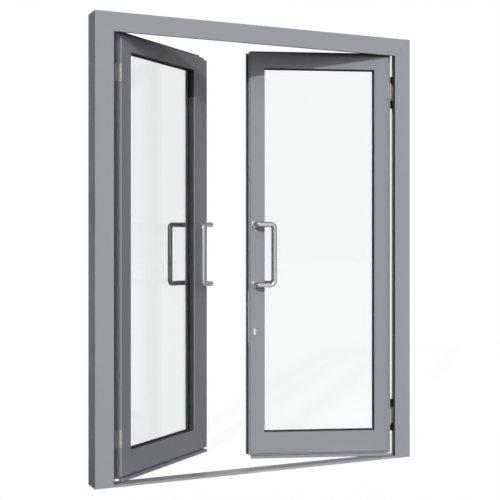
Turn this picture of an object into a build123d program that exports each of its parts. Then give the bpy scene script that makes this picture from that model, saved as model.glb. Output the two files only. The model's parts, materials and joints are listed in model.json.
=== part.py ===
from build123d import *
import os
from collections import namedtuple
from math import cos, radians, sin

# Glazed double door in its frame, seen from the side that it opens away from.
# X runs along the width, Y goes through the doorway away from the viewer, Z is up.
# The origin is under the threshold, in the middle of the frame's width and depth.
# Both leaves stand partly open at rest, each turned about its own hinge axis.
# In the plans below, u is measured inwards from the outer side of the frame that
# carries the leaf, v is measured back from the face of the frame, and z is height.

# Frame
frame_width = 1650.0
frame_height = 2125.0
frame_depth = 108.0
frame_face = 87.0
lip_thickness = 16.0
web_thickness = 40.0
profile_wall = 3.0
cleat_arm = 80.0
cut_overrun = 1.0
seat_gap = 0.3
running_gap = 0.05

# Threshold
threshold_height = 10.5
threshold_depth = 75.0
threshold_bevel = 3.0

# Wall fixings through the jambs
fixing_hole = 11.0
fixing_inset = 222.5
fixing_shares = (0, 1 / 3, 2 / 3, 1)

# Leaves
near_gap = 7.0
leaf_setback = 6.0
leaf_thickness = 64.0
tongue_reach = 14.0
gasket_room = 4.0
gasket_width = 7.0
near_bottom = 37.0
bottom_tongue = 11.0
left_rest = 37.35
right_rest = 18.75
axis_in = 68.0
axis_back = 83.0

# Meeting stiles, which meet a little to the right of the middle
meeting_shift = 27.0
meeting_gap = 6.0
strip_width = 7.0
flange_reach = 11.0
flange_thickness = 16.0
body_gap = 7.0
far_gap = 6.0
seal_margin = 2.0

# Stile and rail faces, and the glazing between them
hinge_face = 71.0
lock_face = 70.5
meeting_face = 123.5
top_face = 65.5
bottom_face = 106.0
leg_depth = 20.0
pane_thickness = 6.0
pane_cavity = 12.0
glass_cover = 14.0
gasket_show = 5.0
spacer_width = 8.0
bead_bevel = 6.0
block_length = 100.0
block_inset = 90.0
leaf_cleat_length = 60.0

# Bottom seal
carrier_bottom = 13.0
carrier_front = 2.0
carrier_depth = 22.0
carrier_wall = 3.0
blade_width = 5.0
blade_drop = 1.8

# Hinges
hinge_inset = 169.0
knuckle_diameter = 20.0
hinge_pin_diameter = 10.0
leaf_knuckle_height = 80.0
frame_knuckle_height = 37.0
knuckle_gap = 3.0
strap_thickness = 6.0
strap_margin = 6.0
base_plate = 6.0
base_width = 34.0
pin_cap_height = 3.0
pin_cap_diameter = 13.0

# Pull handles
handle_middle = 1033.0
handle_centres = 300.0
handle_tube = 25.0
handle_bend = 20.0
handle_standoff = 60.0
handle_crank = 92.0
far_standoff = 66.0
far_crank = 112.0
handle_offset_right = 21.0
handle_offset_left = 45.0
collar_diameter = 32.0
collar_height = 5.0
stud_diameter = 8.0
stud_clearance = 0.3

# Lock in the right leaf, below the handle
cylinder_drop = 229.0
cylinder_diameter = 17.0
cylinder_neck = 10.0
cylinder_length_below = 24.5
cylinder_proud = 2.0
plug_diameter = 13.0
keyway_width = 2.0
keyway_height = 8.0
keyway_depth = 15.0
cam_reach = 14.0
cam_width = 9.0
cam_thickness = 8.0
cam_gap = 1.3
case_width = 46.0
case_thickness = 16.0
case_drop = 42.0
case_rise = 174.0
faceplate_width = 24.0
faceplate_thickness = 3.0
faceplate_margin = 22.0
bolt_rise = 48.0
bolt_depth = 30.0
bolt_thickness = 12.0
bolt_length = 38.0
latch_rise = 126.0
latch_depth = 16.0
latch_length = 42.0
latch_proud = 8.0
bolt_clearance = 0.3
strike_thickness = 2.0
strike_clearance = 2.0

# Flush bolts in the left leaf
rod_diameter = 10.0
rod_in = 14.0
rod_back = 35.0
rod_throw = 20.0
rod_margin = 1.0
rod_clearance = 0.1
bolt_case_height = 160.0
bolt_case_width = 20.0
bolt_case_depth = 22.0
bolt_case_inset = 300.0
thumb_height = 26.0
thumb_width = 10.0
thumb_proud = 1.5
keep_width = 40.0
keep_depth = 30.0
keep_gap = 5.0
keep_bore = 11.0
keep_bore_depth = 25.0

# Places worked out from the sizes above
front = -frame_depth / 2
near_edge = frame_face + near_gap
tongue_edge = near_edge - tongue_reach
tongue_front = lip_thickness + gasket_room
leaf_back = leaf_setback + leaf_thickness
near_top = frame_height - frame_face - near_gap
tongue_top = near_top + tongue_reach
tongue_bottom = near_bottom - bottom_tongue
leg_back = leaf_setback + (leaf_thickness - pane_cavity - 2 * pane_thickness - 2 * gasket_room) / 2
glass_front = leg_back + gasket_room
glass_back = glass_front + 2 * pane_thickness + pane_cavity
bead_front = glass_back + gasket_room
glass_side = near_edge + hinge_face
glass_top = near_top - top_face
glass_bottom = near_bottom + bottom_face
lock_edge = frame_width / 2 - meeting_shift - meeting_gap / 2
lock_body = lock_edge + strip_width
lock_tip = lock_body + flange_reach
flange_front = leaf_back - flange_thickness
meeting_edge = frame_width - lock_edge - meeting_gap
meeting_body = frame_width - lock_body - body_gap
meeting_far = frame_width - lock_tip - far_gap
far_step = flange_front - gasket_room
strip_middle = (tongue_front + flange_front) / 2
handle_top = handle_middle + handle_centres / 2
handle_bottom = handle_middle - handle_centres / 2
cylinder_in = lock_edge - handle_offset_right
cylinder_height = handle_bottom - cylinder_drop
case_bottom = cylinder_height - case_drop
case_top = cylinder_height + case_rise
bolt_height = cylinder_height + bolt_rise
latch_height = cylinder_height + latch_rise
rod_place = meeting_body - rod_in

# One record for each leaf: which way it is handed, its plan turned to rest about the hinge
# axis, and the places where its free stile begins and ends
Leaf = namedtuple("Leaf", "name hand plan glass_end edge body tip near_step far_step handle")


def hinge_plan(hand, rest):
    """Level plane on a hinge axis, with x along the leaf at its rest angle."""
    place = (-hand * (frame_width / 2 - axis_in), front + axis_back, 0)
    along = (hand * cos(radians(rest)), sin(radians(rest)), 0)
    return Plane(origin=place, x_dir=along, z_dir=(0, 0, 1))


left = Leaf(
    "left",
    1,
    hinge_plan(1, left_rest),
    meeting_edge - meeting_face,
    meeting_edge,
    meeting_body,
    meeting_far,
    lip_thickness,
    far_step,
    meeting_edge - handle_offset_left,
)
right = Leaf(
    "right",
    -1,
    hinge_plan(-1, right_rest),
    lock_edge - lock_face,
    lock_edge,
    lock_body,
    lock_tip,
    tongue_front,
    flange_front,
    cylinder_in,
)
leaves = (left, right)


def plan(leaf, *points):
    """Points (u, v) of a leaf's plan in the coordinates of its level plane."""
    return [(u - axis_in, leaf.hand * (v - axis_back)) for u, v in points]


def plan_box(leaf, u0, v0, u1, v1):
    """Four corners of a rectangle in a leaf's plan."""
    return plan(leaf, (u0, v0), (u1, v0), (u1, v1), (u0, v1))


def facing(leaf, v):
    """Upright plane along a leaf at depth v, with x from the hinge axis and y up."""
    spot = leaf.plan.from_local_coords((0, leaf.hand * (v - axis_back), 0))
    return Plane(origin=spot, x_dir=leaf.plan.x_dir, z_dir=-leaf.plan.y_dir)


def across(leaf, u):
    """Upright plane across a leaf at u, with x through its thickness and y up."""
    spot = leaf.plan.from_local_coords((u - axis_in, 0, 0))
    return Plane(origin=spot, x_dir=leaf.plan.y_dir, z_dir=leaf.plan.x_dir)


def section(leaf, *points):
    """Points (v, z) of a leaf's cross section in the coordinates of an across plane."""
    return [(leaf.hand * (v - axis_back), z) for v, z in points]


def section_box(leaf, v0, z0, v1, z1):
    """Four corners of a rectangle in a leaf's cross section."""
    return section(leaf, (v0, z0), (v1, z0), (v1, z1), (v0, z1))


def elevation_box(u0, z0, u1, z1):
    """Four corners of a rectangle in a facing plane."""
    return [(u0 - axis_in, z0), (u1 - axis_in, z0), (u1 - axis_in, z1), (u0 - axis_in, z1)]


def leaf_point(leaf, u, v, z):
    """Point of a leaf in the part's own frame."""
    return leaf.plan.from_local_coords((u - axis_in, leaf.hand * (v - axis_back), z))


def frame_plan(hand, *points):
    """Points (u, v) of the frame's plan, in X and Y."""
    return [(-hand * (frame_width / 2 - u), front + v) for u, v in points]


def head_section(points):
    """Points (u, v) of the frame profile laid along the head, in Y and Z."""
    return [(front + v, frame_height - u) for u, v in points]


def write(piece, name):
    """Label a finished piece and write it to its own file."""
    piece.part.label = name
    export_step(piece.part, f"parts/{name}.step")


os.makedirs("parts", exist_ok=True)

# Frame profile: a lip that shows as the face, with a web behind it along the wall
profile_outline = (
    (0, 0),
    (frame_face, 0),
    (frame_face, lip_thickness),
    (web_thickness, lip_thickness),
    (web_thickness, frame_depth),
    (0, frame_depth),
)
web_chamber = (
    (profile_wall, profile_wall),
    (web_thickness - profile_wall, profile_wall),
    (web_thickness - profile_wall, frame_depth - profile_wall),
    (profile_wall, frame_depth - profile_wall),
)
lip_chamber = (
    (web_thickness, profile_wall),
    (frame_face - profile_wall, profile_wall),
    (frame_face - profile_wall, lip_thickness - profile_wall),
    (web_thickness, lip_thickness - profile_wall),
)
fixing_span = frame_height - 2 * fixing_inset
fixing_heights = [fixing_inset + share * fixing_span for share in fixing_shares]

# Jambs, mitred at the top, with holes through the web for the wall fixings
for hand, name in ((1, "jamb_left"), (-1, "jamb_right")):
    mitre = Plane(origin=(-hand * frame_width / 2, 0, frame_height), z_dir=(-hand, 0, -1))
    with BuildPart() as jamb:
        with BuildSketch(Plane.XY):
            Polygon(*frame_plan(hand, *profile_outline), align=None)
            Polygon(*frame_plan(hand, *web_chamber), align=None, mode=Mode.SUBTRACT)
            Polygon(*frame_plan(hand, *lip_chamber), align=None, mode=Mode.SUBTRACT)
        extrude(amount=frame_height)
        split(bisect_by=mitre, keep=Keep.TOP)
        with BuildSketch(Plane.YZ.offset(-hand * frame_width / 2)):
            with Locations(*[(0, height) for height in fixing_heights]):
                Circle(fixing_hole / 2)
        extrude(amount=hand * (web_thickness + cut_overrun), mode=Mode.SUBTRACT)
    write(jamb, name)

# Head, the same profile laid along the top and mitred to both jambs
with BuildPart() as head:
    with BuildSketch(Plane.YZ.offset(-frame_width / 2)):
        Polygon(*head_section(profile_outline), align=None)
        for chamber in (web_chamber, lip_chamber):
            Polygon(*head_section(chamber), align=None, mode=Mode.SUBTRACT)
    extrude(amount=frame_width)
    for hand in (1, -1):
        corner = (-hand * frame_width / 2, 0, frame_height)
        split(bisect_by=Plane(origin=corner, z_dir=(hand, 0, 1)), keep=Keep.TOP)
write(head, "head")

# Corner cleats, angle pieces inside the web chambers that hold the mitres together
with BuildPart() as frame_cleats:
    outer = profile_wall + seat_gap
    inner = web_thickness - profile_wall - seat_gap
    for hand in (1, -1):
        with BuildSketch(Plane.XZ.offset(-(front + outer))):
            Polygon(
                *[
                    (-hand * (frame_width / 2 - along), frame_height - down)
                    for along, down in (
                        (outer, outer),
                        (cleat_arm, outer),
                        (cleat_arm, inner),
                        (inner, inner),
                        (inner, cleat_arm),
                        (outer, cleat_arm),
                    )
                ],
                align=None,
            )
        extrude(amount=-(frame_depth - 2 * outer))
write(frame_cleats, "frame_corner_cleats")

# Threshold, notched round the lips of the jambs and drilled for the bottom bolt
rod_x = -frame_width / 2 + rod_place
with BuildPart() as threshold:
    between_lips = frame_width / 2 - frame_face
    between_webs = frame_width / 2 - web_thickness
    with BuildSketch(Plane.XY):
        Polygon(
            (-between_lips, front),
            (between_lips, front),
            (between_lips, front + lip_thickness),
            (between_webs, front + lip_thickness),
            (between_webs, front + threshold_depth),
            (-between_webs, front + threshold_depth),
            (-between_webs, front + lip_thickness),
            (-between_lips, front + lip_thickness),
            align=None,
        )
    extrude(amount=threshold_height)
    top_edges = threshold.faces().sort_by(Axis.Z)[-1].edges().filter_by(Axis.X).sort_by(Axis.Y)
    chamfer([top_edges[0], top_edges[-1]], length=threshold_bevel)
    with BuildSketch(Plane.XY):
        with Locations((rod_x, front + rod_back)):
            Circle(keep_bore / 2)
    extrude(amount=threshold_height, mode=Mode.SUBTRACT)
write(threshold, "threshold")

# Stop gasket along the back of the lips of both jambs and the head
gasket_outer = frame_face - cut_overrun - gasket_width
gasket_inner = frame_face - cut_overrun
with BuildPart() as stop_gasket:
    with BuildSketch(Plane.XZ.offset(-(front + lip_thickness))):
        half_outer = frame_width / 2 - gasket_outer
        half_inner = frame_width / 2 - gasket_inner
        Polygon(
            (-half_outer, threshold_height),
            (-half_outer, frame_height - gasket_outer),
            (half_outer, frame_height - gasket_outer),
            (half_outer, threshold_height),
            (half_inner, threshold_height),
            (half_inner, frame_height - gasket_inner),
            (-half_inner, frame_height - gasket_inner),
            (-half_inner, threshold_height),
            align=None,
        )
    extrude(amount=-(gasket_room - seat_gap))
write(stop_gasket, "stop_gasket")

# Keep for the top bolt, a block under the web of the head
keep_top = frame_height - web_thickness
keep_bottom = tongue_top + keep_gap
with BuildPart() as bolt_keep:
    with BuildSketch(Plane.XY.offset(keep_bottom)):
        with Locations((rod_x, front + rod_back)):
            Rectangle(keep_width, keep_depth)
    extrude(amount=keep_top - keep_bottom)
    with BuildSketch(Plane.XY.offset(keep_bottom)):
        with Locations((rod_x, front + rod_back)):
            Circle(keep_bore / 2)
    extrude(amount=keep_bore_depth, mode=Mode.SUBTRACT)
write(bolt_keep, "bolt_keep")

# Hinges: two on each side, each with a knuckle on the leaf between two on the jamb
hinge_heights = (near_bottom + hinge_inset, near_top - hinge_inset)
half_knuckle = leaf_knuckle_height / 2
knuckle_start = half_knuckle + knuckle_gap
knuckle_end = knuckle_start + frame_knuckle_height
pin_bore = hinge_pin_diameter / 2 + running_gap

for leaf in leaves:
    arm_outline = (
        (web_thickness, axis_back - base_width / 2),
        (web_thickness + base_plate, axis_back - base_width / 2),
        (web_thickness + base_plate, axis_back - knuckle_diameter / 2),
        (axis_in, axis_back - knuckle_diameter / 2),
        (axis_in, axis_back + knuckle_diameter / 2),
        (web_thickness + base_plate, axis_back + knuckle_diameter / 2),
        (web_thickness + base_plate, axis_back + base_width / 2),
        (web_thickness, axis_back + base_width / 2),
    )
    axis_place = frame_plan(leaf.hand, (axis_in, axis_back))[0]

    with BuildPart() as hinge_bodies:
        for height in hinge_heights:
            for level in (height + knuckle_start, height - knuckle_end):
                with BuildSketch(Plane.XY.offset(level)):
                    Polygon(*frame_plan(leaf.hand, *arm_outline), align=None)
                    with Locations(axis_place):
                        Circle(knuckle_diameter / 2)
                        Circle(pin_bore, mode=Mode.SUBTRACT)
                extrude(amount=frame_knuckle_height)
    write(hinge_bodies, f"hinge_bodies_{leaf.name}")

    with BuildPart() as hinge_pins:
        for height in hinge_heights:
            with BuildSketch(Plane.XY.offset(height - knuckle_end)):
                with Locations(axis_place):
                    Circle(hinge_pin_diameter / 2)
            extrude(amount=2 * knuckle_end)
            with BuildSketch(Plane.XY.offset(height + knuckle_end)):
                with Locations(axis_place):
                    Circle(pin_cap_diameter / 2)
            extrude(amount=pin_cap_height)
    write(hinge_pins, f"hinge_pins_{leaf.name}")

    with BuildPart() as hinge_bushes:
        for height in hinge_heights:
            for level in (height + half_knuckle + seat_gap, height - knuckle_start):
                with BuildSketch(Plane.XY.offset(level)):
                    with Locations(axis_place):
                        Circle(knuckle_diameter / 2)
                        Circle(pin_bore, mode=Mode.SUBTRACT)
                extrude(amount=knuckle_gap - seat_gap)
    write(hinge_bushes, f"hinge_bushes_{leaf.name}")

    with BuildPart() as hinge_straps:
        strap_outline = (
            (tongue_edge - strap_thickness, tongue_front + strap_margin),
            (tongue_edge, tongue_front + strap_margin),
            (tongue_edge, leaf_back),
            (axis_in + knuckle_diameter / 2, axis_back),
            (axis_in - knuckle_diameter / 2, axis_back),
            (tongue_edge - strap_thickness, leaf_back - knuckle_diameter / 2),
        )
        for height in hinge_heights:
            with BuildSketch(leaf.plan.offset(height - half_knuckle)):
                Polygon(*plan(leaf, *strap_outline), align=None)
                Circle(knuckle_diameter / 2)
                Circle(pin_bore, mode=Mode.SUBTRACT)
            extrude(amount=leaf_knuckle_height)
    write(hinge_straps, f"hinge_straps_{leaf.name}")

# Places that the stiles, the lock and the flush bolts share
stile_height = tongue_top - tongue_bottom
end_steps = ((tongue_bottom, near_bottom), (near_top, tongue_top))
near_chamber_front = leaf_setback + profile_wall
near_chamber_back = leg_back - profile_wall
main_chamber_front = tongue_front + profile_wall
main_chamber_back = leaf_back - profile_wall
hinge_body = glass_side - leg_depth
neck_drop = cylinder_length_below - cylinder_neck / 2
case_front = strip_middle - case_thickness / 2
case_back = strip_middle + case_thickness / 2
bolt_front = strip_middle - bolt_thickness / 2
bolt_back = strip_middle + bolt_thickness / 2
bolt_end = lock_body + faceplate_thickness
latch_end = bolt_end + latch_proud
plate_front = strip_middle - faceplate_width / 2
plate_back = strip_middle + faceplate_width / 2
plate_bottom = case_bottom - faceplate_margin
plate_top = case_top + faceplate_margin
bolt_levels = (
    (bolt_height - bolt_depth / 2, bolt_height + bolt_depth / 2),
    (latch_height - latch_depth / 2, latch_height + latch_depth / 2),
)
bolt_case_levels = (tongue_bottom + bolt_case_inset, tongue_top - bolt_case_inset)
bolt_case_front = rod_back - bolt_case_width / 2
bolt_case_back = rod_back + bolt_case_width / 2


def bolt_windows(leaf, grow):
    """Openings for the deadbolt and the latch in an across plane, grown all round."""
    for bottom, top in bolt_levels:
        window = section_box(leaf, bolt_front - grow, bottom - grow, bolt_back + grow, top + grow)
        Polygon(*window, align=None)


def cylinder_profile(grow):
    """Profile of the lock cylinder, a round barrel over a narrow neck, grown all round."""
    middle = cylinder_in - axis_in
    with Locations((middle, cylinder_height)):
        Circle(cylinder_diameter / 2 + grow)
    with Locations((middle, cylinder_height - neck_drop / 2)):
        Rectangle(cylinder_neck + 2 * grow, neck_drop)
    with Locations((middle, cylinder_height - neck_drop)):
        Circle(cylinder_neck / 2 + grow)


for leaf in leaves:
    stile_bottom = leaf.plan.offset(tongue_bottom)
    free_body = leaf.glass_end + leg_depth

    # Hinge stile, with its tongue behind the lip of the jamb and a leg in front of the glass
    with BuildPart() as hinge_stile:
        hinge_outline = plan(
            leaf,
            (near_edge, leaf_setback),
            (glass_side, leaf_setback),
            (glass_side, leg_back),
            (hinge_body, leg_back),
            (hinge_body, leaf_back),
            (tongue_edge, leaf_back),
            (tongue_edge, tongue_front),
            (near_edge, tongue_front),
        )
        near_start = near_edge + profile_wall
        near_end = glass_side - profile_wall
        main_start = tongue_edge + profile_wall
        main_end = hinge_body - profile_wall
        with BuildSketch(stile_bottom):
            Polygon(*hinge_outline, align=None)
            for chamber in (
                plan_box(leaf, near_start, near_chamber_front, near_end, near_chamber_back),
                plan_box(leaf, main_start, main_chamber_front, main_end, main_chamber_back),
            ):
                Polygon(*chamber, align=None, mode=Mode.SUBTRACT)
        extrude(amount=stile_height)
        for bottom, top in end_steps:
            with BuildSketch(leaf.plan.offset(bottom)):
                Polygon(*plan_box(leaf, 0, 0, frame_width, tongue_front), align=None)
            extrude(amount=top - bottom, mode=Mode.SUBTRACT)
    write(hinge_stile, f"hinge_stile_{leaf.name}")

    # Free stile: a lip on the near side of the left leaf laps the strip of the right leaf,
    # and a flange on the far side of the right leaf laps the step of the left leaf
    with BuildPart() as free_stile:
        free_outline = plan(
            leaf,
            (leaf.glass_end, leaf_setback),
            (leaf.edge, leaf_setback),
            (leaf.edge, leaf.near_step),
            (leaf.body, leaf.near_step),
            (leaf.body, leaf.far_step),
            (leaf.tip, leaf.far_step),
            (leaf.tip, leaf_back),
            (free_body, leaf_back),
            (free_body, leg_back),
            (leaf.glass_end, leg_back),
        )
        near_start = leaf.glass_end + profile_wall
        near_end = min(leaf.edge, leaf.body) - profile_wall
        main_start = free_body + profile_wall
        main_end = min(leaf.body, leaf.tip) - profile_wall
        step_end = leaf.body - profile_wall
        step_back = leaf.far_step - profile_wall
        with BuildSketch(stile_bottom):
            Polygon(*free_outline, align=None)
            for chamber in (
                plan_box(leaf, near_start, near_chamber_front, near_end, near_chamber_back),
                plan_box(leaf, main_start, main_chamber_front, main_end, main_chamber_back),
                plan_box(leaf, main_start, main_chamber_front, step_end, step_back),
            ):
                Polygon(*chamber, align=None, mode=Mode.SUBTRACT)
        extrude(amount=stile_height)
        for bottom, top in end_steps:
            with BuildSketch(leaf.plan.offset(bottom)):
                Polygon(*plan_box(leaf, 0, 0, frame_width, tongue_front), align=None)
            extrude(amount=top - bottom, mode=Mode.SUBTRACT)
        with BuildSketch(facing(leaf, 0)):
            with Locations(*[(leaf.handle - axis_in, z) for z in (handle_bottom, handle_top)]):
                Circle(stud_diameter / 2 + stud_clearance)
            if leaf is right:
                cylinder_profile(bolt_clearance)
        extrude(amount=-leaf.hand * (leaf_back + cut_overrun), mode=Mode.SUBTRACT)
        with BuildSketch(across(leaf, leaf.body - profile_wall - cut_overrun)):
            if leaf is right:
                case_window = section_box(
                    leaf,
                    case_front - bolt_clearance,
                    case_bottom - bolt_clearance,
                    case_back + bolt_clearance,
                    case_top + bolt_clearance,
                )
                Polygon(*case_window, align=None)
            else:
                bolt_windows(leaf, strike_clearance)
                for level in bolt_case_levels:
                    slot = section_box(
                        leaf,
                        bolt_case_front - bolt_clearance,
                        level - bolt_case_height / 2 - bolt_clearance,
                        bolt_case_back + bolt_clearance,
                        level + bolt_case_height / 2 + bolt_clearance,
                    )
                    Polygon(*slot, align=None)
        extrude(amount=profile_wall + 2 * cut_overrun, mode=Mode.SUBTRACT)
    write(free_stile, "meeting_stile_left" if leaf is left else "lock_stile_right")

    # Rails between the stiles, the bottom one taller than the top one
    for rail_name, sight, near_end, tongue_end, away in (
        ("top_rail", glass_top, near_top, tongue_top, 1),
        ("bottom_rail", glass_bottom, near_bottom, tongue_bottom, -1),
    ):
        body_end = sight + away * leg_depth
        with BuildPart() as rail:
            rail_outline = section(
                leaf,
                (leaf_setback, sight),
                (leaf_setback, near_end),
                (tongue_front, near_end),
                (tongue_front, tongue_end),
                (leaf_back, tongue_end),
                (leaf_back, body_end),
                (leg_back, body_end),
                (leg_back, sight),
            )
            with BuildSketch(across(leaf, glass_side)):
                Polygon(*rail_outline, align=None)
            extrude(amount=leaf.glass_end - glass_side)
            with BuildSketch(across(leaf, hinge_body)):
                Polygon(*section_box(leaf, leg_back, body_end, leaf_back, tongue_end), align=None)
            extrude(amount=free_body - hinge_body)
            with BuildSketch(across(leaf, hinge_body)):
                for chamber in (
                    section_box(
                        leaf,
                        near_chamber_front,
                        sight + away * profile_wall,
                        near_chamber_back,
                        near_end - away * profile_wall,
                    ),
                    section_box(
                        leaf,
                        main_chamber_front,
                        body_end + away * profile_wall,
                        main_chamber_back,
                        tongue_end - away * profile_wall,
                    ),
                ):
                    Polygon(*chamber, align=None)
            extrude(amount=free_body - hinge_body, mode=Mode.SUBTRACT)
        write(rail, f"{rail_name}_{leaf.name}")

    # Cleats in the ends of the rails, which screw to the stiles
    with BuildPart() as cleats:
        inset = profile_wall + seat_gap
        for bottom, top in (
            (tongue_bottom, glass_bottom - leg_depth),
            (glass_top + leg_depth, tongue_top),
        ):
            for start in (hinge_body, free_body - leaf_cleat_length):
                with BuildSketch(across(leaf, start)):
                    cleat = section_box(
                        leaf,
                        main_chamber_front + seat_gap,
                        bottom + inset,
                        main_chamber_back - seat_gap,
                        top - inset,
                    )
                    Polygon(*cleat, align=None)
                extrude(amount=leaf_cleat_length)
    write(cleats, f"rail_cleats_{leaf.name}")

    # Sealed glass unit: two panes and the spacer that holds them apart
    pane_start = glass_side - glass_cover
    pane_end = leaf.glass_end + glass_cover
    pane_bottom = glass_bottom - glass_cover
    pane_top = glass_top + glass_cover
    pane_outline = elevation_box(pane_start, pane_bottom, pane_end, pane_top)
    with BuildPart() as panes:
        for depth in (glass_front, glass_back - pane_thickness):
            with BuildSketch(facing(leaf, depth)):
                Polygon(*pane_outline, align=None)
            extrude(amount=-leaf.hand * pane_thickness)
    write(panes, f"glass_panes_{leaf.name}")

    with BuildPart() as spacer:
        spacer_inside = elevation_box(
            pane_start + spacer_width,
            pane_bottom + spacer_width,
            pane_end - spacer_width,
            pane_top - spacer_width,
        )
        with BuildSketch(facing(leaf, glass_front + pane_thickness)):
            Polygon(*pane_outline, align=None)
            Polygon(*spacer_inside, align=None, mode=Mode.SUBTRACT)
        extrude(amount=-leaf.hand * pane_cavity)
    write(spacer, f"glass_spacer_{leaf.name}")

    # Glazing gaskets, one ring on each side of the glass
    with BuildPart() as gaskets:
        gasket_inside = elevation_box(
            glass_side + gasket_show,
            glass_bottom + gasket_show,
            leaf.glass_end - gasket_show,
            glass_top - gasket_show,
        )
        for depth in (leg_back, glass_back):
            with BuildSketch(facing(leaf, depth)):
                Polygon(*pane_outline, align=None)
                Polygon(*gasket_inside, align=None, mode=Mode.SUBTRACT)
            extrude(amount=-leaf.hand * gasket_room)
    write(gaskets, f"glazing_gaskets_{leaf.name}")

    # Glazing beads behind the glass, bevelled towards it
    with BuildPart() as beads:
        for sight, away in ((glass_bottom, -1), (glass_top, 1)):
            with BuildSketch(across(leaf, hinge_body)):
                bead_section = section(
                    leaf,
                    (bead_front, sight + away * leg_depth),
                    (bead_front, sight),
                    (leaf_back - bead_bevel, sight),
                    (leaf_back, sight + away * bead_bevel),
                    (leaf_back, sight + away * leg_depth),
                )
                Polygon(*bead_section, align=None)
            extrude(amount=free_body - hinge_body)
        for sight, away in ((glass_side, -1), (leaf.glass_end, 1)):
            with BuildSketch(leaf.plan.offset(glass_bottom)):
                bead_plan = plan(
                    leaf,
                    (sight + away * leg_depth, bead_front),
                    (sight, bead_front),
                    (sight, leaf_back - bead_bevel),
                    (sight + away * bead_bevel, leaf_back),
                    (sight + away * leg_depth, leaf_back),
                )
                Polygon(*bead_plan, align=None)
            extrude(amount=glass_top - glass_bottom)
    write(beads, f"glazing_beads_{leaf.name}")

    # Setting blocks that carry the glass on the bottom rail
    with BuildPart() as blocks:
        for start in (pane_start + block_inset, pane_end - block_inset - block_length):
            with BuildSketch(across(leaf, start)):
                block = section_box(leaf, glass_front, glass_bottom - leg_depth, glass_back, pane_bottom)
                Polygon(*block, align=None)
            extrude(amount=block_length)
    write(blocks, f"setting_blocks_{leaf.name}")

    # Bottom seal: a channel under the leaf with a rubber blade in it
    carrier_back = carrier_front + carrier_depth
    carrier_start = near_edge + seal_margin
    carrier_end = min(leaf.edge, leaf.body + body_gap) - seal_margin
    blade_front = carrier_front + (carrier_depth - blade_width) / 2
    blade_back = blade_front + blade_width
    with BuildPart() as carrier:
        with BuildSketch(across(leaf, carrier_start)):
            channel = section_box(leaf, carrier_front, carrier_bottom, carrier_back, tongue_bottom)
            Polygon(*channel, align=None)
            groove = section_box(
                leaf, blade_front, carrier_bottom, blade_back, tongue_bottom - carrier_wall
            )
            Polygon(*groove, align=None, mode=Mode.SUBTRACT)
        extrude(amount=carrier_end - carrier_start)
    write(carrier, f"seal_carrier_{leaf.name}")

    with BuildPart() as blade:
        with BuildSketch(across(leaf, carrier_start)):
            strip = section_box(
                leaf, blade_front, carrier_bottom - blade_drop, blade_back, tongue_bottom - carrier_wall
            )
            Polygon(*strip, align=None)
        extrude(amount=carrier_end - carrier_start)
    write(blade, f"bottom_seal_{leaf.name}")

    # Meeting seal, on the lip of the left leaf and on the flange of the right leaf
    seal_thickness = gasket_room - seat_gap
    if leaf is left:
        seal_plan = plan_box(
            leaf,
            leaf.body + seal_margin,
            lip_thickness,
            leaf.edge - seal_margin,
            lip_thickness + seal_thickness,
        )
        seal_bottom, seal_top = near_bottom, near_top
    else:
        seal_plan = plan_box(
            leaf,
            leaf.body + seal_margin,
            flange_front - seal_thickness,
            leaf.tip - seal_margin,
            flange_front,
        )
        seal_bottom, seal_top = tongue_bottom, tongue_top
    with BuildPart() as meeting_seal:
        with BuildSketch(leaf.plan.offset(seal_bottom)):
            Polygon(*seal_plan, align=None)
        extrude(amount=seal_top - seal_bottom)
    write(meeting_seal, f"meeting_seal_{leaf.name}")

    # Pull handles, a bent tube on each face, cranked from the stile over the glass
    for side, face, out, standoff, crank in (
        ("near", leaf_setback, -1, handle_standoff, handle_crank),
        ("far", leaf_back, 1, far_standoff, far_crank),
    ):
        reach = face + out * standoff
        grip = leaf.handle - crank
        route = [
            leaf_point(leaf, leaf.handle, face, handle_bottom),
            leaf_point(leaf, leaf.handle, reach, handle_bottom),
            leaf_point(leaf, grip, reach, handle_bottom),
            leaf_point(leaf, grip, reach, handle_top),
            leaf_point(leaf, leaf.handle, reach, handle_top),
            leaf_point(leaf, leaf.handle, face, handle_top),
        ]
        with BuildPart() as handle:
            with BuildLine():
                FilletPolyline(*route, radius=handle_bend)
            with BuildSketch(Plane(origin=route[0], z_dir=route[1] - route[0])):
                Circle(handle_tube / 2)
            sweep()
            with BuildSketch(facing(leaf, face)):
                with Locations(*[(leaf.handle - axis_in, z) for z in (handle_bottom, handle_top)]):
                    Circle(collar_diameter / 2)
            extrude(amount=-out * leaf.hand * collar_height)
        write(handle, f"handle_{side}_{leaf.name}")

    # Studs that clamp the two handles to the stile
    with BuildPart() as studs:
        with BuildSketch(facing(leaf, leaf_setback)):
            with Locations(*[(leaf.handle - axis_in, z) for z in (handle_bottom, handle_top)]):
                Circle(stud_diameter / 2)
        extrude(amount=-leaf.hand * leaf_thickness)
    write(studs, f"handle_studs_{leaf.name}")

# Lock case in the right stile, with pockets for the bolts and a clear ring for the cam
cam_room = cam_reach + cam_gap
with BuildPart() as lock_case:
    with BuildSketch(across(right, lock_body - case_width)):
        Polygon(*section_box(right, case_front, case_bottom, case_back, case_top), align=None)
    extrude(amount=case_width)
    with BuildSketch(facing(right, 0)):
        cylinder_profile(bolt_clearance)
        with Locations((cylinder_in - axis_in, cylinder_height)):
            Circle(cam_room)
    extrude(amount=-right.hand * leaf_back, mode=Mode.SUBTRACT)
    pocket_start = min(bolt_end - bolt_length, latch_end - latch_length - latch_proud) - cut_overrun
    with BuildSketch(across(right, pocket_start)):
        bolt_windows(right, bolt_clearance)
    extrude(amount=lock_body - pocket_start, mode=Mode.SUBTRACT)
write(lock_case, "lock_case")

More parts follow.
